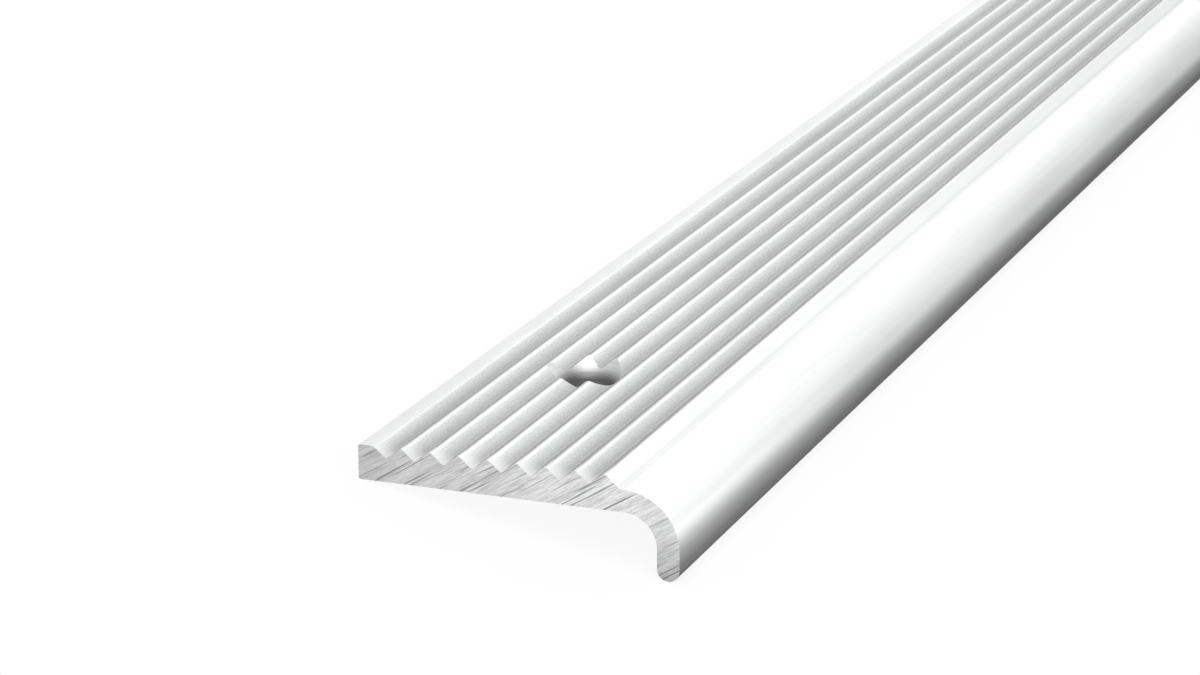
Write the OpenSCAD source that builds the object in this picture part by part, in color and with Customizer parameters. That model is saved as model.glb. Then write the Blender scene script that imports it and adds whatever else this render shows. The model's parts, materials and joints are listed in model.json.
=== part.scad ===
// Ribbed stair nosing, one length of extruded aluminium with countersunk screw holes.
// The section is drawn as it sits on a stair: X runs from the back edge to the front of the nose,
// Z runs up from the underside that lies on the tread. The finished length is then tipped about Y
// until its back edge and the tip of its leg share one level floor.

/* [Stock] */
// Length of the stock, along Y
stock_length = 1000; // [300:10:3000]
// Width from the back edge to the front of the nose
stock_width = 30; // [24:0.5:60]

/* [Ribbed plate] */
// Thickness from the underside to the rib crests
plate_thickness = 3.2; // [2.8:0.1:5]
// Width of the plain land along the back edge, up to the corner of the first groove
land_width = 1.45; // [1.2:0.05:4]
// Radius where the land rolls over into the first groove
land_round = 0.8; // [0.3:0.05:1.2]
// Radius of the two back corners
back_round = 0.2; // [0.1:0.05:0.4]
// Distance from rib to rib
rib_pitch = 2.72; // [2.5:0.02:4]
// Slope of the rib flanks
flank_angle = 41; // [36:1:45]
// Radius over the rib crests
crest_round = 0.33; // [0.2:0.01:0.45]
// Radius in the groove floors
floor_round = 0.38; // [0.2:0.01:0.45]

/* [Nose and leg] */
// Wall of the nose and of the leg
nose_wall = 2.05; // [1.6:0.05:2.4]
// Outer radius of the nose
nose_radius = 5.15; // [3.5:0.05:8]
// Height from the rib crests down to the tip of the leg
leg_height = 9; // [8.5:0.1:30]

/* [Screw holes] */
// Diameter of the through hole
hole_diameter = 4.5; // [3:0.1:5]
// Diameter of the countersink at the rib crests
sink_diameter = 8; // [6:0.1:9]
// Angle of the countersink
sink_angle = 90; // [82:1:100]
// Groove that the row of holes sits in, counted from the back edge
hole_groove = 4; // [2:1:7]
// Distance from each end to the first hole
hole_end_distance = 28; // [15:1:100]
// Widest spacing between holes
hole_spacing_limit = 240; // [60:10:400]

/* [Hidden] */
$fn = 96;
// How far the hole cutter stands proud of both faces, and the flats that make up a small round.
run_out = 2;
round_steps = 3;

// Ribs: where straight flanks would meet, and how much the rounds take off each corner.
round_loss = 1 / cos(flank_angle) - 1;
groove_depth = rib_pitch / 2 * tan(flank_angle) - (crest_round + floor_round) * round_loss;
floor_height = plate_thickness - groove_depth;
land_flank_run = (groove_depth + floor_round * round_loss) / tan(flank_angle);
first_groove = land_width + land_flank_run;
land_end = land_width - land_round * tan(flank_angle / 2);

// Nose: the bend turns about this centre, so its inside starts level with the underside.
bend_x = stock_width - nose_radius;
bend_z = nose_wall - nose_radius;
inner_radius = nose_radius - nose_wall;

// Step from the last crest down to the nose, with a fillet at its foot.
step_run = crest_round * tan(flank_angle / 2) + (plate_thickness - nose_wall) / tan(flank_angle);
fillet_run = floor_round * tan(flank_angle / 2);
groove_count = floor((bend_x - fillet_run - step_run - first_groove) / rib_pitch + 1 / 2);
function groove_x(i) = first_groove + (i - 1) * rib_pitch;
function crest_x(i) = groove_x(i) + rib_pitch / 2;
step_foot = crest_x(groove_count) + step_run;

// Leg: its tip is a full round.
tip_radius = nose_wall / 2;
tip_x = stock_width - tip_radius;
tip_z = plate_thickness - leg_height + tip_radius;

// Screw holes: evenly spread between the two end distances.
hole_span = stock_length - 2 * hole_end_distance;
hole_gaps = max(1, ceil(hole_span / hole_spacing_limit));
hole_x = groove_x(hole_groove);
sink_depth = (sink_diameter - hole_diameter) / 2 / tan(sink_angle / 2);

// Rest: the floor touches the round of the back lower corner and the round of the tip.
centre_drop = atan2(back_round - tip_z, tip_x - back_round);
centre_distance = norm([tip_x - back_round, back_round - tip_z]);
rest_tilt = centre_drop + asin((tip_radius - back_round) / centre_distance);
floor_z = back_round * (sin(rest_tilt) + cos(rest_tilt)) - back_round;
rest_left = back_round * cos(rest_tilt) - (plate_thickness - back_round) * sin(rest_tilt) - back_round;
rest_right = tip_x * cos(rest_tilt) - tip_z * sin(rest_tilt) + tip_radius;

// A point on a circle, by its angle from +X.
function on_round(centre, radius, angle) = centre + radius * [cos(angle), sin(angle)];

// The points of a small round, from one angle to another.
function arc(centre, radius, from, to) =
    [for (i = [0:round_steps]) on_round(centre, radius, from + (to - from) * i / round_steps)];

// The top of the ribs from the last crest back to the first groove.
function ribs() = [
    for (i = [groove_count:-1:1]) each concat(
        arc([crest_x(i), plate_thickness - crest_round], crest_round, 90 - flank_angle, 90 + flank_angle),
        arc([groove_x(i), floor_height + floor_round], floor_round, 270 + flank_angle, 270 - flank_angle)
    )
];

// The plate up to the nose, once around its outline from the back lower corner.
module ribbed_plate() {
    polygon(concat(
        arc([back_round, back_round], back_round, 180, 270),
        [[bend_x, 0], [bend_x, nose_wall]],
        arc([step_foot + fillet_run, nose_wall + floor_round], floor_round, 270, 270 - flank_angle),
        ribs(),
        arc([land_end, plate_thickness - land_round], land_round, 90 - flank_angle, 90),
        arc([back_round, plate_thickness - back_round], back_round, 90, 180)
    ));
}

// A slice of a disc between two angles.
module slice(centre, radius, from, to) {
    reach = 2 * radius;
    translate(centre)
        intersection() {
            circle(radius);
            polygon([
                [0, 0],
                on_round([0, 0], reach, from),
                on_round([0, 0], reach, (from + to) / 2),
                on_round([0, 0], reach, to),
            ]);
        }
}

// The quarter bend of the nose.
module nose_bend() {
    difference() {
        slice([bend_x, bend_z], nose_radius, 0, 90);
        translate([bend_x, bend_z]) circle(inner_radius);
    }
}

// The short leg below the bend, with its full round tip.
module leg() {
    translate([stock_width - nose_wall, tip_z])
        square([nose_wall, bend_z - tip_z]);
    slice([tip_x, tip_z], tip_radius, 180, 360);
}

module section() {
    ribbed_plate();
    nose_bend();
    leg();
}

// The cutter for one screw hole, standing on the underside.
module screw_hole() {
    hole_radius = hole_diameter / 2;
    rotate_extrude()
        polygon([
            [0, -run_out],
            [hole_radius, -run_out],
            [hole_radius, plate_thickness - sink_depth],
            [sink_diameter / 2 + run_out * tan(sink_angle / 2), plate_thickness + run_out],
            [0, plate_thickness + run_out],
        ]);
}

module nosing_profile() {
    color("gainsboro")
        translate([-(rest_left + rest_right) / 2, 0, -floor_z])
            rotate([0, -rest_tilt, 0])
                difference() {
                    rotate([90, 0, 0])
                        linear_extrude(stock_length, center = true) section();
                    for (i = [0:hole_gaps])
                        translate([hole_x, hole_span * (i / hole_gaps - 1 / 2), 0]) screw_hole();
                }
}

nosing_profile();
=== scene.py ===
"""Ribbed aluminium stair nosing, with its sawn ends and countersunk screw holes, on a white studio floor."""

import json
import math

import bpy
from mathutils import Matrix, Vector


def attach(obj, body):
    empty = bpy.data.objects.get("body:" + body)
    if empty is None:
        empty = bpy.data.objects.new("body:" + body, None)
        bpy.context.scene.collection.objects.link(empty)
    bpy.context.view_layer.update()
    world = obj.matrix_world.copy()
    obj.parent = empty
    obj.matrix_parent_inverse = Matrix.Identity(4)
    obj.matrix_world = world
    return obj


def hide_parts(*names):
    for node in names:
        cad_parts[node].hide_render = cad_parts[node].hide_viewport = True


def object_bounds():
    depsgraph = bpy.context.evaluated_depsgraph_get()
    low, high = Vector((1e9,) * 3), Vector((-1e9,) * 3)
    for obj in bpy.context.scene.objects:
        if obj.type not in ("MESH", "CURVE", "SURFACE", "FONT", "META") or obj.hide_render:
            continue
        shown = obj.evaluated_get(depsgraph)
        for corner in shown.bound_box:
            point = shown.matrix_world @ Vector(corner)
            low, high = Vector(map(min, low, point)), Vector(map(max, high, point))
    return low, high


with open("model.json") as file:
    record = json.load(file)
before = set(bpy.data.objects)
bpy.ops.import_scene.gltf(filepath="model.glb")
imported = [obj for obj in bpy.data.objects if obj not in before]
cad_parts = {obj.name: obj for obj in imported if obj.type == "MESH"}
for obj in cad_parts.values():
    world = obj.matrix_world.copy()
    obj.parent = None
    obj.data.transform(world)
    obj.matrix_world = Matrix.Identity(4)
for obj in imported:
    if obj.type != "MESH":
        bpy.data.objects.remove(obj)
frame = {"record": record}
cad_low, cad_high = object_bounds()

bl_info = {
    "name": "Stair nosing",
    "version": (1, 0, 0),
    "blender": (4, 5, 0),
    "location": "View3D > Sidebar > Stair nosing",
    "description": "Builds a ribbed stair nosing profile and the studio floor it is shown on",
    "category": "Object",
}

NODE = "nosing_profile"
MM = 0.001

# Straight pieces in each round of the section.
FLOOR_STEPS = 6
CREST_STEPS = 12
LAND_STEPS = 12
BACK_STEPS = 6
NOSE_STEPS = 48
INNER_STEPS = 24
TIP_STEPS = 28

# Mesh: distance within which points are one, bend from which an edge is sharp, and the cutter of the holes.
MERGE = 0.002 * MM
CREASE = math.radians(24)
CUTTER_SIDES = 128
CUTTER_OVER = 2 * MM

# Places across a rib, measured past its crest towards the nose, between which the painted light and painted
# shade change: the front flanks are painted lit, the back shoulders and the grooves are painted in shade.
FRONT_LIT = (-0.06 * MM, 0.22 * MM)
BACK_SHOULDER_SHADE = (-0.45 * MM, -0.20 * MM)
BACK_LIT = 0.85
FLANK_SHADE_FALL = (0.30 * MM, 1.15 * MM)
# The burnished band with its painted highlight runs between these places on the front of each crest.
WORN_START = (0.01 * MM, 0.19 * MM)
WORN_END = (0.23 * MM, 0.43 * MM)

# Other places where the finish of the skin, its painted light and its painted shade change.
RIB_MARGIN = 0.05 * MM
LAND_EDGE = (0.07 * MM, 0.02 * MM)
LAND_WORN = 0.5
# Painted light in a strip along the sawn ends, where the grooves lie open to the light.
END_LIGHT_STRIP = 3.0 * MM
END_LIGHT_SHARE = 0.65
NOSE_EDGE = 0.25 * MM
STEP_EDGE = (0.1 * MM, 0.4 * MM)
TIP_MARGIN = 0.3 * MM

# Painted shade: the sawn end is darkened towards the back edge and down the leg.
SAW_BACK_END = 22 * MM
SAW_BACK_SHADE = 0.36
SAW_LEG_START = -1 * MM
SAW_LEG_SHADE = 0.5

# Depths in a countersink, below the crests or over the groove floors, where its rim colour and its painted
# shade begin.
SINK_RIM = (0.5 * MM, 0.15 * MM)
SINK_SHADE_DEPTH = 0.35 * MM

# The range that most values of a noise lie in, its stretch across, along and up, and the height of relief.
NOISE_RANGE = (0.3, 0.7)
NO_TURN = (0.0, 0.0, 0.0)
DIE_LINES = (1.0, 0.012, 1.0)
CLOUDS = (1.0, 0.25, 1.0)
TOOL_RINGS = (0.02, 0.02, 1.0)
RELIEF = 0.04 * MM
WHITE = (1.0, 1.0, 1.0)

# Floor, light and camera.
FLOOR_HALF = 20.0
FLOOR_GAP = 0.02 * MM
WALL_RANGE = (0.1, 0.95)
ROOF_START = math.radians(28)
ROOF_END = math.radians(55)
LAMP_WIDTH = math.radians(36)
TOP_HEIGHT = math.radians(80)
NOSE_LAMP = (40 * MM, 24 * MM)
VIEW_ACROSS = 8.367 * MM
VIEW_ALONG = 37.412 * MM
CLIP_START = 10 * MM

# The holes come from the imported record, so the sinks sit exactly where the bores are.
BORES = [mount for mount in frame["record"]["mounts"] if mount["kind"] == "bore"]
HOLE_PLACES = sorted(mount["pos_m"][1] for mount in BORES)
HOLE_RADIUS = BORES[0]["dims"]["r_mm"] * MM


def length_property(label, about, value):
    """A size in metres."""
    return bpy.props.FloatProperty(
        name=label, description=about, default=value, min=0.0, precision=5, subtype="DISTANCE", unit="LENGTH"
    )


def colour_property(label, about, value):
    """A linear colour."""
    return bpy.props.FloatVectorProperty(
        name=label, description=about, default=value, size=3, min=0.0, max=1.0, subtype="COLOR"
    )


def share_property(label, about, value):
    """A number from 0 to 1."""
    return bpy.props.FloatProperty(
        name=label, description=about, default=value, min=0.0, max=1.0, subtype="FACTOR"
    )


def level_property(label, about, value):
    """A number from 0 up."""
    return bpy.props.FloatProperty(name=label, description=about, default=value, min=0.0, precision=5)


def angle_property(label, about, degrees):
    """An angle, given in degrees."""
    return bpy.props.FloatProperty(
        name=label, description=about, default=math.radians(degrees), subtype="ANGLE", unit="ROTATION"
    )


class NosingSizes(bpy.types.PropertyGroup):
    """Sizes of the section and of the screw holes."""

    stock_length: length_property("Length", "Length of the stock", cad_high.y - cad_low.y)
    stock_width: length_property("Width", "From the back edge to the front of the nose", 30 * MM)
    plate_thickness: length_property("Plate", "From the underside to the rib crests", 3.2 * MM)
    land_width: length_property("Land", "Plain strip along the back edge", 1.45 * MM)
    land_round: length_property("Land round", "Radius where the land rolls into the first groove", 0.8 * MM)
    back_round: length_property("Back round", "Radius of the two back corners", 0.2 * MM)
    rib_pitch: length_property("Rib pitch", "Distance from rib to rib", 2.72 * MM)
    flank_angle: angle_property("Flank angle", "Slope of the rib flanks", 41.0)
    crest_round: length_property("Crest round", "Radius over the rib crests", 0.33 * MM)
    floor_round: length_property("Groove round", "Radius in the groove floors", 0.38 * MM)
    groove_count: bpy.props.IntProperty(
        name="Grooves", description="Number of grooves across the plate", default=8, min=2
    )
    nose_wall: length_property("Nose wall", "Wall of the nose and of the leg", 2.05 * MM)
    nose_radius: length_property("Nose radius", "Outer radius of the nose", 5.15 * MM)
    leg_height: length_property("Leg height", "From the rib crests down to the tip of the leg", 9 * MM)
    hole_groove: bpy.props.IntProperty(
        name="Hole groove", description="Groove that the screw holes sit in", default=4, min=1
    )
    sink_radius: length_property("Sink radius", "Radius of the countersink at the rib crests", 4 * MM)


class NosingFinish(bpy.types.PropertyGroup):
    """Colours and gloss of the anodised skin, the sawn ends and the countersinks."""

    skin_colour: colour_property("Anodised skin", "Satin anodised skin", (0.76, 0.763, 0.768))
    nose_colour: colour_property("Nose", "Smoother, brighter skin over the nose", (0.85, 0.854, 0.86))
    # Partly wear, partly painted highlight: the bright band on the crests and the land.
    wear_and_highlight_colour: colour_property("Worn crests", "Burnished rib crests", (0.84, 0.843, 0.847))
    rib_colour: colour_property("Ribs", "Blasted rib flanks near the crests", (0.82, 0.824, 0.83))
    # Painted shade: the grooves get this darker colour where shade falls in them.
    groove_shade_colour: colour_property("Grooves", "Duller skin in the grooves", (0.47, 0.473, 0.478))
    speck_colour: colour_property("Specks", "Dark specks in the blasted ribs", (0.15, 0.151, 0.153))
    # Painted shade: the leg is darkened towards its tip, in place of the dark surroundings it would reflect.
    leg_shade_colour: colour_property("Leg", "Duller skin at the tip of the leg", (0.33, 0.332, 0.335))
    # Painted shade: this tint darkens the reflections on the lower nose.
    glance_shade_colour: colour_property("Glancing tint", "Lower nose at a glancing look", (0.27, 0.27, 0.27))
    skin_roughness: share_property("Skin roughness", "How satin the skin is", 0.36)
    rib_roughness: share_property("Rib roughness", "How matt the blasted ribs are", 0.40)
    saw_colour: colour_property("Sawn end", "Bare sawn metal", (0.97, 0.972, 0.975))
    saw_shade: colour_property("Saw streaks", "Deeper saw streaks", (0.64, 0.642, 0.645))
    # Colour of the scratches and of the painted shade on the sawn end.
    saw_scratch_and_shade: colour_property("Saw scratches", "The few long dark scratches", (0.16, 0.16, 0.162))
    saw_angle: angle_property("Saw angle", "Direction of the saw streaks across the end", 32.0)
    sink_colour: colour_property("Countersink", "Countersink near its rim", (0.80, 0.803, 0.808))
    # Painted shade at the foot of the sink; the same colour marks the tool rings.
    foot_shade_and_ring_colour: colour_property("Sink foot", "Dulled metal at the foot of the sink", (0.16, 0.16, 0.162))
    # Painted shade: the drilled wall is given this dark colour.
    hole_shade_colour: colour_property("Hole", "Drilled wall below the sink", (0.22, 0.221, 0.223))
    sink_roughness: share_property("Sink roughness", "Roughness of the machined countersink", 0.52)


class NosingStage(bpy.types.PropertyGroup):
    """Floor, light and camera."""

    floor_colour: colour_property("Floor", "Colour of the studio floor", (0.98, 0.98, 0.98))
    floor_glow: share_property("Floor glow", "Share of even white in the floor as it is seen", 0.88)
    tent_wall: level_property("Tent wall", "Brightness of the light tent behind the stock", 1.75)
    tent_low: share_property("Tent foot", "Share of that brightness at the foot of the tent", 0.5)
    tent_front: level_property("Tent front", "Brightness of the light tent on the camera's side", 0.8)
    tent_roof: level_property("Tent roof", "Brightness of the light tent overhead", 0.3)
    tent_turn: angle_property("Tent turn", "Turn of the brightest wall from behind towards the nose", 17.5)
    tent_rise: angle_property("Tent rise", "Height at which the walls are brightest", 24.0)
    flag_shade: share_property("Flag shade", "How much the dark flag at the far end takes away", 0.8)
    flag_turn: angle_property("Flag turn", "Turn of the flag from straight behind towards the nose", 8.0)
    flag_height: angle_property("Flag height", "Height of the middle of the flag", 2.0)
    flag_edge: angle_property("Flag edge", "Angle from the middle of the flag to its soft edge", 22.0)
    key_light: level_property("Key light", "Strength of the wide soft lamp in front", 0.8)
    top_light: level_property("Top light", "Strength of the wide soft lamp overhead", 0.8)
    key_turn: angle_property("Key turn", "Turn of the key lamp from in front towards the back edge", 10.0)
    key_height: angle_property("Key height", "Height of the key lamp over the floor", 54.0)
    nose_light: level_property("Nose light", "Power of the small lamp beside the stock, in watts", 0.00012)
    nose_turn: angle_property("Nose turn", "Turn of that lamp from straight behind towards the nose", 26.0)
    nose_height: angle_property("Nose height", "Height of that lamp over the floor", 3.2)
    nose_spread: angle_property("Nose spread", "Width of that lamp's beam", 14.0)
    nose_distance: length_property("Nose distance", "From the near end of the nose to that lamp", 300 * MM)
    nose_aim: length_property("Nose aim", "How far before the near end that lamp points", 60 * MM)
    lens: bpy.props.FloatProperty(
        name="Lens", description="Focal length in millimetres", default=122.1, min=1.0
    )
    view_azimuth: angle_property("View azimuth", "Turn of the camera towards the nose", 20.975)
    view_elevation: angle_property("View elevation", "Height of the camera above the ribbed face", 17.005)
    view_distance: length_property("View distance", "From the camera to the point it looks at", 387.273 * MM)


class Section:
    """Places of the section's rounds, drawn with the underside level: across from the back edge, and up."""

    def __init__(self, sizes):
        s = sizes
        slope = math.tan(s.flank_angle)
        self.half = math.tan(s.flank_angle / 2)
        loss = 1 / math.cos(s.flank_angle) - 1
        self.depth = s.rib_pitch / 2 * slope - (s.crest_round + s.floor_round) * loss
        self.floor_height = s.plate_thickness - self.depth
        self.first_groove = s.land_width + (self.depth + s.floor_round * loss) / slope
        self.land_end = s.land_width - s.land_round * self.half
        self.last_groove = self.first_groove + (s.groove_count - 1) * s.rib_pitch
        self.last_crest = self.last_groove + s.rib_pitch / 2
        step_run = s.crest_round * self.half + (s.plate_thickness - s.nose_wall) / slope
        self.step_foot = self.last_crest + step_run
        self.bend = (s.stock_width - s.nose_radius, s.nose_wall - s.nose_radius)
        self.tip_radius = s.nose_wall / 2
        self.tip = (s.stock_width - self.tip_radius, s.plate_thickness - s.leg_height + self.tip_radius)
        self.hole_across = self.first_groove + (s.hole_groove - 1) * s.rib_pitch
        self.rest(s)

    def rest(self, s):
        """The tilt and shift that put the back edge and the tip of the leg on the floor."""
        run = self.tip[0] - s.back_round
        drop = s.back_round - self.tip[1]
        reach = math.hypot(run, drop)
        self.tilt = math.atan2(drop, run) + math.asin((self.tip_radius - s.back_round) / reach)
        sine, cosine = math.sin(self.tilt), math.cos(self.tilt)
        left = s.back_round * cosine - (s.plate_thickness - s.back_round) * sine - s.back_round
        right = self.tip[0] * cosine - self.tip[1] * sine + self.tip_radius
        self.middle = (left + right) / 2
        self.lift = s.back_round - s.back_round * (sine + cosine)

    def lie(self):
        """Turns a shape drawn with a level underside into the way the stock lies at rest."""
        return Matrix.Translation((-self.middle, 0, self.lift)) @ Matrix.Rotation(-self.tilt, 4, "Y")


def arc(centre, radius, start, end, steps):
    """Points on a round, by angles in degrees from the across direction."""
    turns = [math.radians(start + (end - start) * i / steps) for i in range(steps + 1)]
    return [(centre[0] + radius * math.cos(t), centre[1] + radius * math.sin(t)) for t in turns]


def rib_line(sizes, section):
    """One rib, from the floor of the first groove over its crest to the floor of the second."""
    s = sizes
    flank = math.degrees(s.flank_angle)
    crest = (section.first_groove + s.rib_pitch / 2, s.plate_thickness - s.crest_round)
    low = section.floor_height + s.floor_round
    second = section.first_groove + s.rib_pitch
    return (
        arc((section.first_groove, low), s.floor_round, 270, 270 + flank, FLOOR_STEPS)
        + arc(crest, s.crest_round, 90 + flank, 90 - flank, CREST_STEPS)
        + arc((second, low), s.floor_round, 270 - flank, 270, FLOOR_STEPS)
    )


def plain_line(sizes, section):
    """The rest of the outline, from the last groove round the nose, leg and underside to the first groove."""
    s = sizes
    flank = math.degrees(s.flank_angle)
    low = section.floor_height + s.floor_round
    top = s.plate_thickness
    inner = s.nose_radius - s.nose_wall
    foot = (section.step_foot + s.floor_round * section.half, s.nose_wall + s.floor_round)
    return (
        arc((section.last_groove, low), s.floor_round, 270, 270 + flank, FLOOR_STEPS)
        + arc((section.last_crest, top - s.crest_round), s.crest_round, 90 + flank, 90 - flank, CREST_STEPS)
        + arc(foot, s.floor_round, 270 - flank, 270, FLOOR_STEPS)
        + arc(section.bend, s.nose_radius, 90, 0, NOSE_STEPS)
        + arc(section.tip, section.tip_radius, 0, -180, TIP_STEPS)
        + arc(section.bend, inner, 0, 90, INNER_STEPS)
        + arc((s.back_round, s.back_round), s.back_round, 270, 180, BACK_STEPS)
        + arc((s.back_round, top - s.back_round), s.back_round, 180, 90, BACK_STEPS)
        + arc((section.land_end, top - s.land_round), s.land_round, 90, 90 - flank, LAND_STEPS)
        + arc((section.first_groove, low), s.floor_round, 270 - flank, 270, FLOOR_STEPS)
    )


def outline_object(sizes, section):
    """The two open lines of the section as one mesh, with the rib marked for repeating."""
    rib = rib_line(sizes, section)
    plain = plain_line(sizes, section)
    points = [Vector((x, y, 0)) for x, y in rib + plain]
    edges = [(i, i + 1) for i in range(len(points) - 1) if i != len(rib) - 1]
    mesh = bpy.data.meshes.new(NODE)
    mesh.from_pydata(points, edges, [])
    mark = mesh.attributes.new("rib", "BOOLEAN", "POINT")
    for i in range(len(rib)):
        mark.data[i].value = True
    made = bpy.data.objects.new("nosing_stock", mesh)
    bpy.context.scene.collection.objects.link(made)
    return made


class Tree:
    """A node tree that is filled node by node."""

    def __init__(self, tree):
        self.tree = tree

    def add(self, kind, settings=None, **inputs):
        """A node; inputs are values or sockets to join, named as on the node with _ for a space."""
        made = self.tree.nodes.new(kind)
        for key, value in (settings or {}).items():
            setattr(made, key, value)
        for name, value in inputs.items():
            self.put(made.inputs[name.replace("_", " ")], value)
        return made

    def put(self, socket, value):
        """Joins a socket to another one, or sets its value."""
        if isinstance(value, bpy.types.NodeSocket):
            self.tree.links.new(value, socket)
        else:
            socket.default_value = value

    def maths(self, operation, first, second=0.0):
        """One sum on numbers."""
        made = self.add("ShaderNodeMath", {"operation": operation})
        self.put(made.inputs[0], first)
        self.put(made.inputs[1], second)
        return made.outputs[0]


TREE_INPUTS = (
    ("Geometry", "NodeSocketGeometry"),
    ("Length", "NodeSocketFloat"),
    ("Rib Pitch", "NodeSocketFloat"),
    ("Ribs", "NodeSocketInt"),
    ("Lie Place", "NodeSocketVector"),
    ("Lie Turn", "NodeSocketVector"),
    ("Hole Start", "NodeSocketVector"),
    ("Hole Step", "NodeSocketVector"),
    ("Holes", "NodeSocketInt"),
    ("Hole Radius", "NodeSocketFloat"),
    ("Sink Flare", "NodeSocketVector"),
    ("Cutter Height", "NodeSocketFloat"),
    ("Skin", "NodeSocketMaterial"),
    ("Sawn End", "NodeSocketMaterial"),
    ("Countersink", "NodeSocketMaterial"),
)


def nosing_tree():
    """Repeats the rib, runs the section out along the stock and cuts the row of countersunk holes."""
    tree = bpy.data.node_groups.new("Nosing stock", "GeometryNodeTree")
    for name, kind in TREE_INPUTS:
        tree.interface.new_socket(name=name, in_out="INPUT", socket_type=kind)
    tree.interface.new_socket(name="Geometry", in_out="OUTPUT", socket_type="NodeSocketGeometry")
    t = Tree(tree)
    given = t.add("NodeGroupInput").outputs

    mark = t.add("GeometryNodeInputNamedAttribute", {"data_type": "BOOLEAN"}, Name="rib")
    lines = t.add(
        "GeometryNodeSeparateGeometry",
        {"domain": "POINT"},
        Geometry=given["Geometry"],
        Selection=mark.outputs[0],
    )
    step = t.add("ShaderNodeCombineXYZ", X=given["Rib Pitch"])
    row = t.add("GeometryNodeMeshLine", Count=given["Ribs"], Offset=step.outputs[0])
    ribs = t.add("GeometryNodeInstanceOnPoints", Points=row.outputs[0], Instance=lines.outputs["Selection"])
    ribs = t.add("GeometryNodeRealizeInstances", Geometry=ribs.outputs[0])
    outline = t.add("GeometryNodeJoinGeometry", Geometry=ribs.outputs[0])
    t.put(outline.inputs[0], lines.outputs["Inverted"])
    outline = t.add("GeometryNodeMergeByDistance", Geometry=outline.outputs[0], Distance=MERGE)
    outline = t.add("GeometryNodeMeshToCurve", Mesh=outline.outputs[0])
    cap = t.add("GeometryNodeFillCurve", {"mode": "NGONS"}, Curve=outline.outputs[0])
    cap = t.add("GeometryNodeSetMaterial", Geometry=cap.outputs[0], Material=given["Sawn End"])

    along = t.add("ShaderNodeCombineXYZ", Z=given["Length"])
    run = t.add("GeometryNodeExtrudeMesh", {"mode": "FACES"}, Mesh=cap.outputs[0], Offset=along.outputs[0])
    run.inputs["Individual"].default_value = False
    skin = t.add(
        "GeometryNodeSetMaterial",
        Geometry=run.outputs["Mesh"],
        Selection=run.outputs["Side"],
        Material=given["Skin"],
    )
    start = t.add("GeometryNodeFlipFaces", Mesh=cap.outputs[0])
    stock = t.add("GeometryNodeJoinGeometry", Geometry=skin.outputs[0])
    t.put(stock.inputs[0], start.outputs[0])
    stock = t.add("GeometryNodeMergeByDistance", Geometry=stock.outputs[0], Distance=MERGE)
    middle = t.add("ShaderNodeCombineXYZ", Y=t.maths("MULTIPLY", given["Length"], 0.5))
    stock = t.add(
        "GeometryNodeTransform",
        Geometry=stock.outputs[0],
        Translation=middle.outputs[0],
        Rotation=(math.pi / 2, 0, 0),
    )

    cutter = t.add(
        "GeometryNodeMeshCylinder",
        {"fill_type": "NGON"},
        Vertices=CUTTER_SIDES,
        Side_Segments=2,
        Fill_Segments=1,
        Radius=given["Hole Radius"],
        Depth=given["Cutter Height"],
    )
    place = t.add("GeometryNodeInputPosition")
    flare = t.add("ShaderNodeVectorMath", {"operation": "MULTIPLY"})
    t.put(flare.inputs[0], place.outputs[0])
    t.put(flare.inputs[1], given["Sink Flare"])
    sink = t.add(
        "GeometryNodeSetPosition",
        Geometry=cutter.outputs["Mesh"],
        Selection=cutter.outputs["Top"],
        Position=flare.outputs[0],
    )
    sink = t.add("GeometryNodeSetMaterial", Geometry=sink.outputs[0], Material=given["Countersink"])
    holes = t.add(
        "GeometryNodeMeshLine",
        Count=given["Holes"],
        Start_Location=given["Hole Start"],
        Offset=given["Hole Step"],
    )
    holes = t.add("GeometryNodeInstanceOnPoints", Points=holes.outputs[0], Instance=sink.outputs[0])
    holes = t.add("GeometryNodeRealizeInstances", Geometry=holes.outputs[0])
    drilled = t.add("GeometryNodeMeshBoolean", {"operation": "DIFFERENCE", "solver": "EXACT"})
    t.put(drilled.inputs["Mesh 1"], stock.outputs[0])
    t.put(drilled.inputs["Mesh 2"], holes.outputs[0])
    drilled = t.add("GeometryNodeMergeByDistance", Geometry=drilled.outputs[0], Distance=MERGE)

    laid = t.add(
        "GeometryNodeTransform",
        Geometry=drilled.outputs[0],
        Translation=given["Lie Place"],
        Rotation=given["Lie Turn"],
    )
    rounded = t.add("GeometryNodeSetShadeSmooth", {"domain": "FACE"}, Geometry=laid.outputs[0])
    fold = t.add("GeometryNodeInputMeshEdgeAngle")
    creased = t.add(
        "GeometryNodeSetShadeSmooth",
        {"domain": "EDGE"},
        Geometry=rounded.outputs[0],
        Selection=t.maths("GREATER_THAN", fold.outputs[0], CREASE),
    )
    creased.inputs["Shade Smooth"].default_value = False

    sawn = t.add("GeometryNodeMaterialSelection", Material=given["Sawn End"])
    sunk = t.add("GeometryNodeMaterialSelection", Material=given["Countersink"])
    other = t.add("FunctionNodeBooleanMath", {"operation": "NOR"})
    t.put(other.inputs[0], sawn.outputs[0])
    t.put(other.inputs[1], sunk.outputs[0])
    whole = t.add("GeometryNodeRealizeInstances", Geometry=creased.outputs[0])
    whole = t.add(
        "GeometryNodeSetMaterial",
        Geometry=whole.outputs[0],
        Selection=other.outputs[0],
        Material=given["Skin"],
    )
    t.add("NodeGroupOutput", Geometry=whole.outputs[0])
    return tree


def set_inputs(modifier, tree, values):
    """Sets a modifier's inputs by the identifiers of the tree's sockets."""
    identifiers = {item.name: item.identifier for item in tree.interface.items_tree if item.in_out == "INPUT"}
    for name, value in values.items():
        modifier[identifiers[name]] = value


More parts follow.
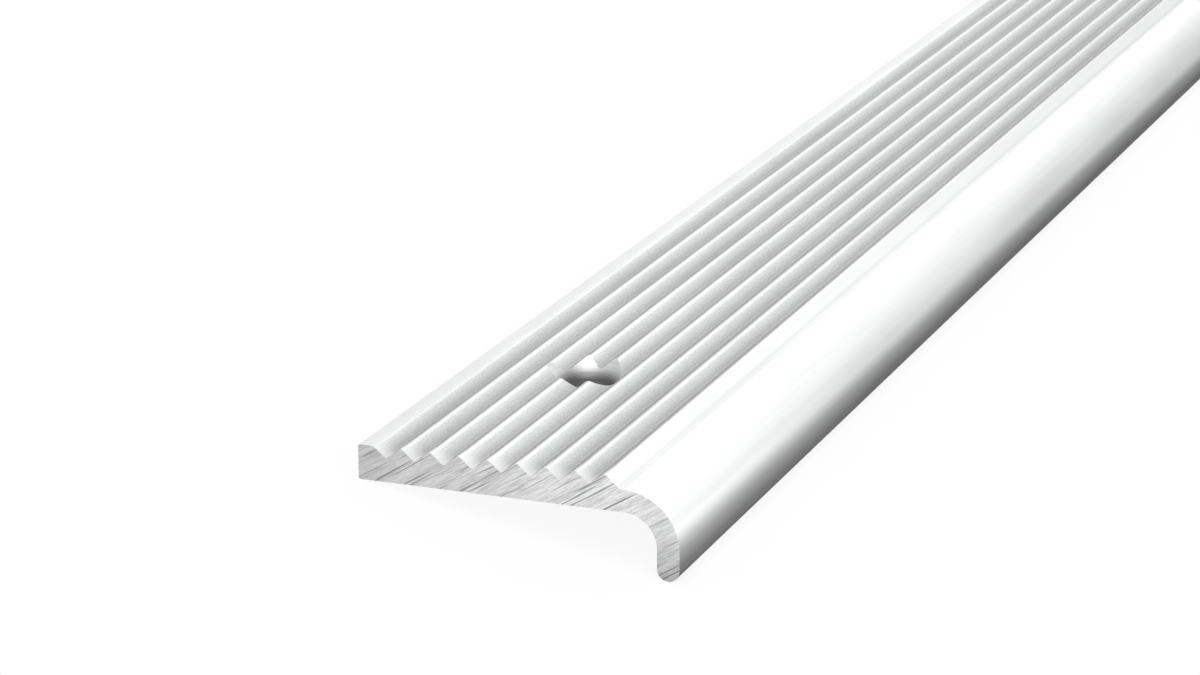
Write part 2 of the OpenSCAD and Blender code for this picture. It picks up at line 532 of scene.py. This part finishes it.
def plain_mesh(made):
    """Swaps an object's modifiers for the mesh that they make."""
    graph = bpy.context.evaluated_depsgraph_get()
    mesh = bpy.data.meshes.new_from_object(made.evaluated_get(graph), depsgraph=graph)
    before = made.data
    made.modifiers.clear()
    made.data = mesh
    mesh.name = made.name
    bpy.data.meshes.remove(before)
    if not mesh.polygons:
        raise RuntimeError(made.name + " came out empty")


def new_material(name):
    """A material with one shader, and the tree to add nodes to."""
    material = bpy.data.materials.new(name)
    material.use_nodes = True
    tree = Tree(material.node_tree)
    return material, tree, material.node_tree.nodes["Principled BSDF"]


def stretched(tree, coordinates, turn, scale):
    """Object coordinates turned and then stretched."""
    turned = tree.add("ShaderNodeMapping", {"vector_type": "TEXTURE"}, Vector=coordinates, Rotation=turn)
    return tree.add("ShaderNodeMapping", Vector=turned.outputs[0], Scale=scale).outputs[0]


def noise(tree, vector, scale, detail, roughness):
    """Values of a noise, about 0.5."""
    made = tree.add("ShaderNodeTexNoise", Vector=vector, Scale=scale, Detail=detail, Roughness=roughness)
    return made.outputs[0]


def spread(tree, value, low, high, to_low, to_high, kind="LINEAR"):
    """Stretches a range of values onto another one; the limits may be sockets."""
    made = tree.add("ShaderNodeMapRange", {"interpolation_type": kind}, Value=value)
    for socket, limit in zip(made.inputs[1:5], (low, high, to_low, to_high)):
        tree.put(socket, limit)
    return made.outputs[0]


def smooth(tree, value, low, high, to_low, to_high):
    """Like spread, with soft ends."""
    return spread(tree, value, low, high, to_low, to_high, "SMOOTHSTEP")


def blend(tree, share, first, second):
    """Mixes two colours."""
    made = tree.add("ShaderNodeMix", {"data_type": "RGBA"})
    tree.put(made.inputs[0], share)
    for socket, colour in ((made.inputs[6], first), (made.inputs[7], second)):
        tree.put(socket, colour if isinstance(colour, bpy.types.NodeSocket) else (*colour, 1.0))
    return made.outputs[2]


def add_relief(tree, shader, height, strength):
    """Fine relief on a metal."""
    bump = tree.add("ShaderNodeBump", Strength=strength, Distance=RELIEF, Height=height)
    tree.put(shader.inputs["Normal"], bump.outputs[0])
    shader.inputs["Metallic"].default_value = 1.0


def section_place(tree, section):
    """Places on the section as it is drawn: across, along and up from the underside."""
    where = tree.add("ShaderNodeTexCoord").outputs["Object"]
    level = tree.add(
        "ShaderNodeMapping",
        {"vector_type": "TEXTURE"},
        Vector=where,
        Location=(-section.middle, 0, section.lift),
        Rotation=(0, -section.tilt, 0),
    )
    return level.outputs[0]


def on_ribs(tree, parts, section):
    """1 on the land, ribs and grooves, and 0 past the last crest, on the back and on the underside."""
    above = tree.maths("GREATER_THAN", parts["Z"], section.floor_height - RIB_MARGIN)
    after = tree.maths("GREATER_THAN", parts["X"], 2 * RIB_MARGIN)
    before = tree.maths("LESS_THAN", parts["X"], section.last_crest + 2 * RIB_MARGIN)
    return tree.maths("MULTIPLY", above, tree.maths("MULTIPLY", after, before))


def past_crest(tree, parts, sizes, section):
    """How far a place lies past the nearest crest, towards the nose."""
    from_groove = tree.maths("SUBTRACT", parts["X"], section.first_groove)
    pitches = tree.maths("DIVIDE", from_groove, sizes.rib_pitch)
    share = tree.maths("SUBTRACT", tree.maths("FRACT", pitches), 0.5)
    return tree.maths("MULTIPLY", share, sizes.rib_pitch)


def painted_flank_light(tree, past, on_land):
    """Painted light and shade: 1 high on the front flanks, falling to 0 in the grooves and along the back
    shoulder of each crest, where shade is painted.
    """
    front = smooth(tree, past, *FRONT_LIT, 0.0, 1.0)
    back = smooth(tree, past, *BACK_SHOULDER_SHADE, BACK_LIT, 0.0)
    fall = spread(tree, tree.maths("ABSOLUTE", past), *FLANK_SHADE_FALL, 1.0, 0.0)
    lit = tree.maths("MULTIPLY", tree.maths("MAXIMUM", front, back), fall)
    return tree.maths("MAXIMUM", lit, on_land)


def crest_wear_and_highlight(tree, past, on_land, height, top):
    """Where feet have burnished the front of the crests, with a painted highlight along them, from 0 to 1,
    and the land half as much.
    """
    rise = smooth(tree, past, *WORN_START, 0.0, 1.0)
    crest = tree.maths("MULTIPLY", rise, smooth(tree, past, *WORN_END, 1.0, 0.0))
    land = spread(tree, height, top - LAND_EDGE[0], top - LAND_EDGE[1], 0.0, LAND_WORN)
    both = tree.add("ShaderNodeMix", {"data_type": "FLOAT"})
    for socket, value in zip((both.inputs[0], both.inputs[2], both.inputs[3]), (on_land, crest, land)):
        tree.put(socket, value)
    return both.outputs[0]


def painted_end_light(tree, along, sizes):
    """Painted light: falls from the sawn edges to 0 where the lit strip along them ends, as the grooves there
    lie open to the light.
    """
    half = sizes.stock_length / 2
    return smooth(tree, tree.maths("ABSOLUTE", along), half - END_LIGHT_STRIP, half, 0.0, END_LIGHT_SHARE)


def over_nose(tree, parts, sizes, section):
    """1 over the nose and on the step down from the last rib, and 0 on the narrow flat between them."""
    bend = section.bend[0]
    nose = smooth(tree, parts["X"], bend - NOSE_EDGE, bend + NOSE_EDGE, 0.0, 1.0)
    low, high = (sizes.nose_wall + rise for rise in STEP_EDGE)
    return tree.maths("MAXIMUM", nose, smooth(tree, parts["Z"], low, high, 0.0, 1.0))


def skin_material(finish, sizes, section):
    """Satin anodised skin: etched grain, die lines along the stock, burnished crests; painted shade in the
    grooves, on the back shoulders and down the leg, and painted light on the front flanks, along the crests
    and near the sawn ends.
    """
    material, t, shader = new_material("satin_anodised_skin")
    place = section_place(t, section)
    parts = t.add("ShaderNodeSeparateXYZ", Vector=place).outputs
    grain = noise(t, place, scale=6500.0, detail=2.0, roughness=0.6)
    lines = stretched(t, place, NO_TURN, DIE_LINES)
    lines = noise(t, lines, scale=2600.0, detail=3.0, roughness=0.6)
    clouds = stretched(t, place, NO_TURN, CLOUDS)
    clouds = noise(t, clouds, scale=160.0, detail=2.0, roughness=0.5)
    ribs = on_ribs(t, parts, section)
    past = past_crest(t, parts, sizes, section)
    on_land = t.maths("LESS_THAN", parts["X"], sizes.land_width)
    bend = section.bend[1]

    # Painted light and shade: lit front flanks take the rib colour, shaded grooves and back shoulders the
    # darker groove colour.
    flank = blend(t, painted_flank_light(t, past, on_land), finish.groove_shade_colour, finish.rib_colour)
    plain = blend(t, over_nose(t, parts, sizes, section), finish.skin_colour, finish.nose_colour)
    tone = blend(t, ribs, plain, flank)
    # Painted shade: the skin darkens down the leg to its tip.
    leg_start, leg_end = bend + sizes.nose_radius / 4, section.tip[1] + TIP_MARGIN
    tone = blend(t, spread(t, parts["Z"], leg_start, leg_end, 0.0, 1.0), tone, finish.leg_shade_colour)
    tone = blend(t, spread(t, lines, *NOISE_RANGE, 0.0, 0.05), tone, finish.speck_colour)
    dense = spread(t, ribs, 0.0, 1.0, 0.05, 0.30)
    specks = t.maths("MULTIPLY", spread(t, grain, 0.35, 0.65, 0.0, 1.0), dense)
    tone = blend(t, specks, tone, finish.speck_colour)
    # Burnished wear with a painted highlight on the crest fronts and the land.
    worn = crest_wear_and_highlight(t, past, on_land, parts["Z"], sizes.plate_thickness)
    # Painted light: the ribs are lightened in the strip along the sawn ends.
    worn = t.maths("MAXIMUM", worn, painted_end_light(t, parts["Y"], sizes))
    tone = blend(t, t.maths("MULTIPLY", worn, ribs), tone, finish.wear_and_highlight_colour)
    t.put(shader.inputs["Base Color"], tone)

    # Painted shade: the glancing tint darkens the reflections over the lower half of the nose.
    lower_nose_shade = smooth(t, parts["Z"], bend + sizes.nose_radius / 2, bend, 0.0, 1.0)
    t.put(shader.inputs["Specular Tint"], blend(t, lower_nose_shade, WHITE, finish.glance_shade_colour))
    rough = spread(t, ribs, 0.0, 1.0, finish.skin_roughness, finish.rib_roughness)
    uneven = spread(t, clouds, *NOISE_RANGE, -0.03, 0.03)
    t.put(shader.inputs["Roughness"], t.maths("ADD", rough, uneven))
    relief = t.maths("ADD", t.maths("MULTIPLY", grain, 0.6), t.maths("MULTIPLY", lines, 0.4))
    add_relief(t, shader, relief, 0.10)
    return material


def saw_material(finish, sizes, section):
    """Bare sawn end: streaks in the direction of the blade, with a few deeper cuts, and painted shade towards
    the back edge and down the leg.
    """
    material, t, shader = new_material("sawn_end")
    place = section_place(t, section)
    parts = t.add("ShaderNodeSeparateXYZ", Vector=place).outputs
    turn = (0, -finish.saw_angle, 0)
    fine = noise(t, stretched(t, place, turn, (0.06, 1.0, 1.0)), scale=9500.0, detail=4.0, roughness=0.75)
    broad = noise(t, stretched(t, place, turn, (0.08, 1.0, 1.0)), scale=1300.0, detail=2.0, roughness=0.5)
    cuts = noise(t, stretched(t, place, turn, (0.03, 1.0, 1.0)), scale=4200.0, detail=1.0, roughness=0.5)
    streaks = t.maths("ADD", t.maths("MULTIPLY", fine, 0.7), t.maths("MULTIPLY", broad, 0.3))
    tone = blend(t, spread(t, streaks, 0.43, 0.56, 0.0, 1.0), finish.saw_shade, finish.saw_colour)
    tone = blend(t, spread(t, cuts, 0.60, 0.70, 0.0, 0.75), tone, finish.saw_scratch_and_shade)
    # Painted shade: darker towards the back edge and down the leg.
    back = spread(t, parts["X"], 0.0, SAW_BACK_END, SAW_BACK_SHADE, 0.0)
    tip_height = sizes.plate_thickness - sizes.leg_height
    tip = spread(t, parts["Z"], SAW_LEG_START, tip_height, 0.0, SAW_LEG_SHADE)
    tone = blend(t, t.maths("MAXIMUM", back, tip), tone, finish.saw_scratch_and_shade)
    t.put(shader.inputs["Base Color"], tone)
    t.put(shader.inputs["Roughness"], spread(t, fine, *NOISE_RANGE, 0.42, 0.58))
    add_relief(t, shader, streaks, 0.3)
    return material


def sink_material(finish, sizes, section):
    """Machined countersink: fine tool rings, as bright as the ribs it cuts, with painted shade darkening it
    down into the hole.
    """
    material, t, shader = new_material("machined_countersink")
    place = section_place(t, section)
    height = t.add("ShaderNodeSeparateXYZ", Vector=place).outputs["Z"]
    rings = stretched(t, place, NO_TURN, TOOL_RINGS)
    rings = noise(t, rings, scale=9000.0, detail=2.0, roughness=0.6)
    top = sizes.plate_thickness
    foot = top - sizes.sink_radius + HOLE_RADIUS
    # Painted shade: the cone darkens with depth down to its foot, and the hole below is painted dark.
    deep = smooth(t, height, section.floor_height + SINK_SHADE_DEPTH, foot, 0.0, 1.0)
    rim = smooth(t, height, top - SINK_RIM[0], top - SINK_RIM[1], 0.0, 1.0)
    # The rim takes the crests' colour of wear and painted highlight.
    tone = blend(t, rim, finish.sink_colour, finish.wear_and_highlight_colour)
    tone = blend(t, deep, tone, finish.foot_shade_and_ring_colour)
    tone = blend(t, spread(t, rings, 0.35, 0.65, 0.0, 0.10), tone, finish.foot_shade_and_ring_colour)
    tone = blend(t, t.maths("LESS_THAN", height, foot), tone, finish.hole_shade_colour)
    t.put(shader.inputs["Base Color"], tone)
    rough = finish.sink_roughness
    t.put(shader.inputs["Roughness"], spread(t, rings, *NOISE_RANGE, rough, rough + 0.1))
    add_relief(t, shader, rings, 0.2)
    return material


class NOSING_OT_stock(bpy.types.Operator):
    """Builds the length of ribbed stock with its sawn ends and screw holes"""

    bl_idname = "nosing.stock"
    bl_label = "Build the nosing"

    def execute(self, context):
        sizes, finish = context.scene.nosing_sizes, context.scene.nosing_finish
        section = Section(sizes)
        stock = outline_object(sizes, section)
        tree = nosing_tree()
        modifier = stock.modifiers.new("Nosing stock", "NODES")
        modifier.node_group = tree
        sink_depth = sizes.sink_radius - HOLE_RADIUS
        reach = sink_depth + CUTTER_OVER
        flare = (HOLE_RADIUS + reach) / HOLE_RADIUS
        hole_step = (HOLE_PLACES[-1] - HOLE_PLACES[0]) / (len(HOLE_PLACES) - 1)
        set_inputs(
            modifier,
            tree,
            {
                "Length": sizes.stock_length,
                "Rib Pitch": sizes.rib_pitch,
                "Ribs": sizes.groove_count - 1,
                "Lie Place": (-section.middle, 0, section.lift),
                "Lie Turn": (0, -section.tilt, 0),
                "Hole Start": (section.hole_across, HOLE_PLACES[0], sizes.plate_thickness - sink_depth),
                "Hole Step": (0, hole_step, 0),
                "Holes": len(HOLE_PLACES),
                "Hole Radius": HOLE_RADIUS,
                "Sink Flare": (flare, flare, 1),
                "Cutter Height": 2 * reach,
                "Skin": skin_material(finish, sizes, section),
                "Sawn End": saw_material(finish, sizes, section),
                "Countersink": sink_material(finish, sizes, section),
            },
        )
        even = stock.modifiers.new("Even shading", "WEIGHTED_NORMAL")
        even.keep_sharp = True
        plain_mesh(stock)
        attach(stock, "root")
        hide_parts(NODE)
        return {"FINISHED"}


def towards(turn, height):
    """A direction, turned from straight behind the stock towards the nose, at a height over the floor."""
    flat = math.cos(height)
    return Vector((math.sin(turn) * flat, math.cos(turn) * flat, math.sin(height)))


def facing(tree, direction, turn, height):
    """How nearly a direction of the light tent points towards a turn and a height."""
    made = tree.add("ShaderNodeVectorMath", {"operation": "DOT_PRODUCT"})
    tree.put(made.inputs[0], direction)
    made.inputs[1].default_value = towards(turn, height)
    return made.outputs["Value"]


class NOSING_OT_stage(bpy.types.Operator):
    """Builds the white floor, the soft light and the camera"""

    bl_idname = "nosing.stage"
    bl_label = "Build the stage"

    def execute(self, context):
        stage = context.scene.nosing_stage
        self.lay_floor(context, stage)
        self.light(context, stage)
        self.aim_camera(context, stage)
        context.scene.view_settings.view_transform = "Standard"
        return {"FINISHED"}

    def lay_floor(self, context, stage):
        """A wide flat sheet under the stock."""
        half = FLOOR_HALF
        corners = [(-half, -half, 0), (half, -half, 0), (half, half, 0), (-half, half, 0)]
        mesh = bpy.data.meshes.new("studio_floor")
        mesh.from_pydata(corners, [], [(0, 1, 2, 3)])
        floor = bpy.data.objects.new("studio_floor", mesh)
        floor.location.z = cad_low.z - FLOOR_GAP
        context.scene.collection.objects.link(floor)
        material, t, shader = new_material("white_floor")
        shader.inputs["Base Color"].default_value = (*stage.floor_colour, 1)
        shader.inputs["Roughness"].default_value = 1.0
        shader.inputs["Specular IOR Level"].default_value = 0.0
        ray = t.add("ShaderNodeLightPath").outputs
        seen = t.maths("MAXIMUM", ray["Is Camera Ray"], ray["Is Glossy Ray"])
        seen = t.maths("MAXIMUM", seen, ray["Is Transmission Ray"])
        glow = t.add("ShaderNodeEmission", Color=(1, 1, 1, 1), Strength=1.0)
        both = t.add("ShaderNodeMixShader", Fac=t.maths("MULTIPLY", seen, stage.floor_glow))
        t.put(both.inputs[1], shader.outputs[0])
        t.put(both.inputs[2], glow.outputs[0])
        t.put(material.node_tree.nodes["Material Output"].inputs["Surface"], both.outputs[0])
        mesh.materials.append(material)

    def light(self, context, stage):
        """A light tent, brightest low on the wall behind the stock, two wide lamps and a small one."""
        world = bpy.data.worlds.new("light_tent")
        world.use_nodes = True
        context.scene.world = world
        t = Tree(world.node_tree)
        where = t.add("ShaderNodeTexCoord").outputs["Generated"]
        height = t.add("ShaderNodeSeparateXYZ", Vector=where).outputs["Z"]
        behind = facing(t, where, stage.tent_turn, 0.0)
        wall = smooth(t, behind, *WALL_RANGE, stage.tent_front, stage.tent_wall)
        foot = smooth(t, height, 0.0, math.sin(stage.tent_rise), stage.tent_low, 1.0)
        middle = facing(t, where, stage.flag_turn, stage.flag_height)
        outer, inner = math.cos(stage.flag_edge), math.cos(stage.flag_edge / 3)
        flag = smooth(t, middle, outer, inner, 1.0, 1.0 - stage.flag_shade)
        lit = t.maths("MULTIPLY", t.maths("MULTIPLY", wall, foot), flag)
        strength = smooth(t, height, math.sin(ROOF_START), math.sin(ROOF_END), lit, stage.tent_roof)
        background = world.node_tree.nodes["Background"]
        background.inputs["Color"].default_value = (1, 1, 1, 1)
        t.put(background.inputs["Strength"], strength)
        self.hang_lamp(context, "key_light", stage.key_light, stage.key_turn, stage.key_height)
        self.hang_lamp(context, "top_light", stage.top_light, 0.0, TOP_HEIGHT)
        self.stand_lamp(context, stage)

    def stand_lamp(self, context, stage):
        """A small soft lamp that stands beside the stock and lights the nose at the near end."""
        lamp = bpy.data.lights.new("nose_light", "AREA")
        lamp.shape = "RECTANGLE"
        lamp.size, lamp.size_y = NOSE_LAMP
        lamp.spread = stage.nose_spread
        lamp.energy = stage.nose_light
        stood = bpy.data.objects.new("nose_light", lamp)
        end = Vector((cad_high.x, cad_low.y, cad_low.z))
        stood.location = end + towards(stage.nose_turn, stage.nose_height) * stage.nose_distance
        aim = end - Vector((0, stage.nose_aim, 0))
        stood.rotation_euler = (stood.location - aim).to_track_quat("Z", "Y").to_euler()
        context.scene.collection.objects.link(stood)

    def hang_lamp(self, context, name, strength, turn, height):
        """A wide soft lamp, turned from in front towards the back edge, at a height over the floor."""
        lamp = bpy.data.lights.new(name, "SUN")
        lamp.energy = strength
        lamp.angle = LAMP_WIDTH
        hung = bpy.data.objects.new(name, lamp)
        source = towards(turn + math.pi, height)
        hung.rotation_euler = source.to_track_quat("Z", "Y").to_euler()
        context.scene.collection.objects.link(hung)

    def aim_camera(self, context, stage):
        """The photograph's view, which is level with the ribbed face, not with the floor."""
        sizes = context.scene.nosing_sizes
        lie = Section(sizes).lie()
        azimuth = stage.view_azimuth
        back = towards(math.pi - azimuth, stage.view_elevation)
        right = Vector((math.cos(azimuth), math.sin(azimuth), 0))
        up = back.cross(right)
        target = Vector((VIEW_ACROSS, cad_low.y + VIEW_ALONG, sizes.plate_thickness))
        turned = [lie.to_3x3() @ axis for axis in (right, up, back)]
        camera = bpy.data.objects.new("camera", bpy.data.cameras.new("camera"))
        place = lie @ (target + back * stage.view_distance)
        camera.matrix_world = Matrix.Translation(place) @ Matrix(turned).transposed().to_4x4()
        camera.data.lens = stage.lens
        camera.data.clip_start = CLIP_START
        context.scene.collection.objects.link(camera)
        context.scene.camera = camera


class NOSING_PT_panel(bpy.types.Panel):
    """Sizes, finish and stage of the stair nosing"""

    bl_idname = "NOSING_PT_panel"
    bl_label = "Stair nosing"
    bl_space_type = "VIEW_3D"
    bl_region_type = "UI"
    bl_category = "Stair nosing"

    def draw(self, context):
        scene = context.scene
        for group in (scene.nosing_sizes, scene.nosing_finish, scene.nosing_stage):
            box = self.layout.box()
            for name in group.__annotations__:
                box.prop(group, name)
        for operator in OPERATORS:
            self.layout.operator(operator.bl_idname)


OPERATORS = (NOSING_OT_stock, NOSING_OT_stage)
GROUPS = {"nosing_sizes": NosingSizes, "nosing_finish": NosingFinish, "nosing_stage": NosingStage}


def register():
    for name, group in GROUPS.items():
        bpy.utils.register_class(group)
        setattr(bpy.types.Scene, name, bpy.props.PointerProperty(type=group))
    for made in (*OPERATORS, NOSING_PT_panel):
        bpy.utils.register_class(made)


def unregister():
    for made in (NOSING_PT_panel, *reversed(OPERATORS)):
        bpy.utils.unregister_class(made)
    for name, group in reversed(GROUPS.items()):
        delattr(bpy.types.Scene, name)
        bpy.utils.unregister_class(group)


def main():
    register()
    bpy.ops.nosing.stock()
    bpy.ops.nosing.stage()


if __name__ == "__main__":
    main()
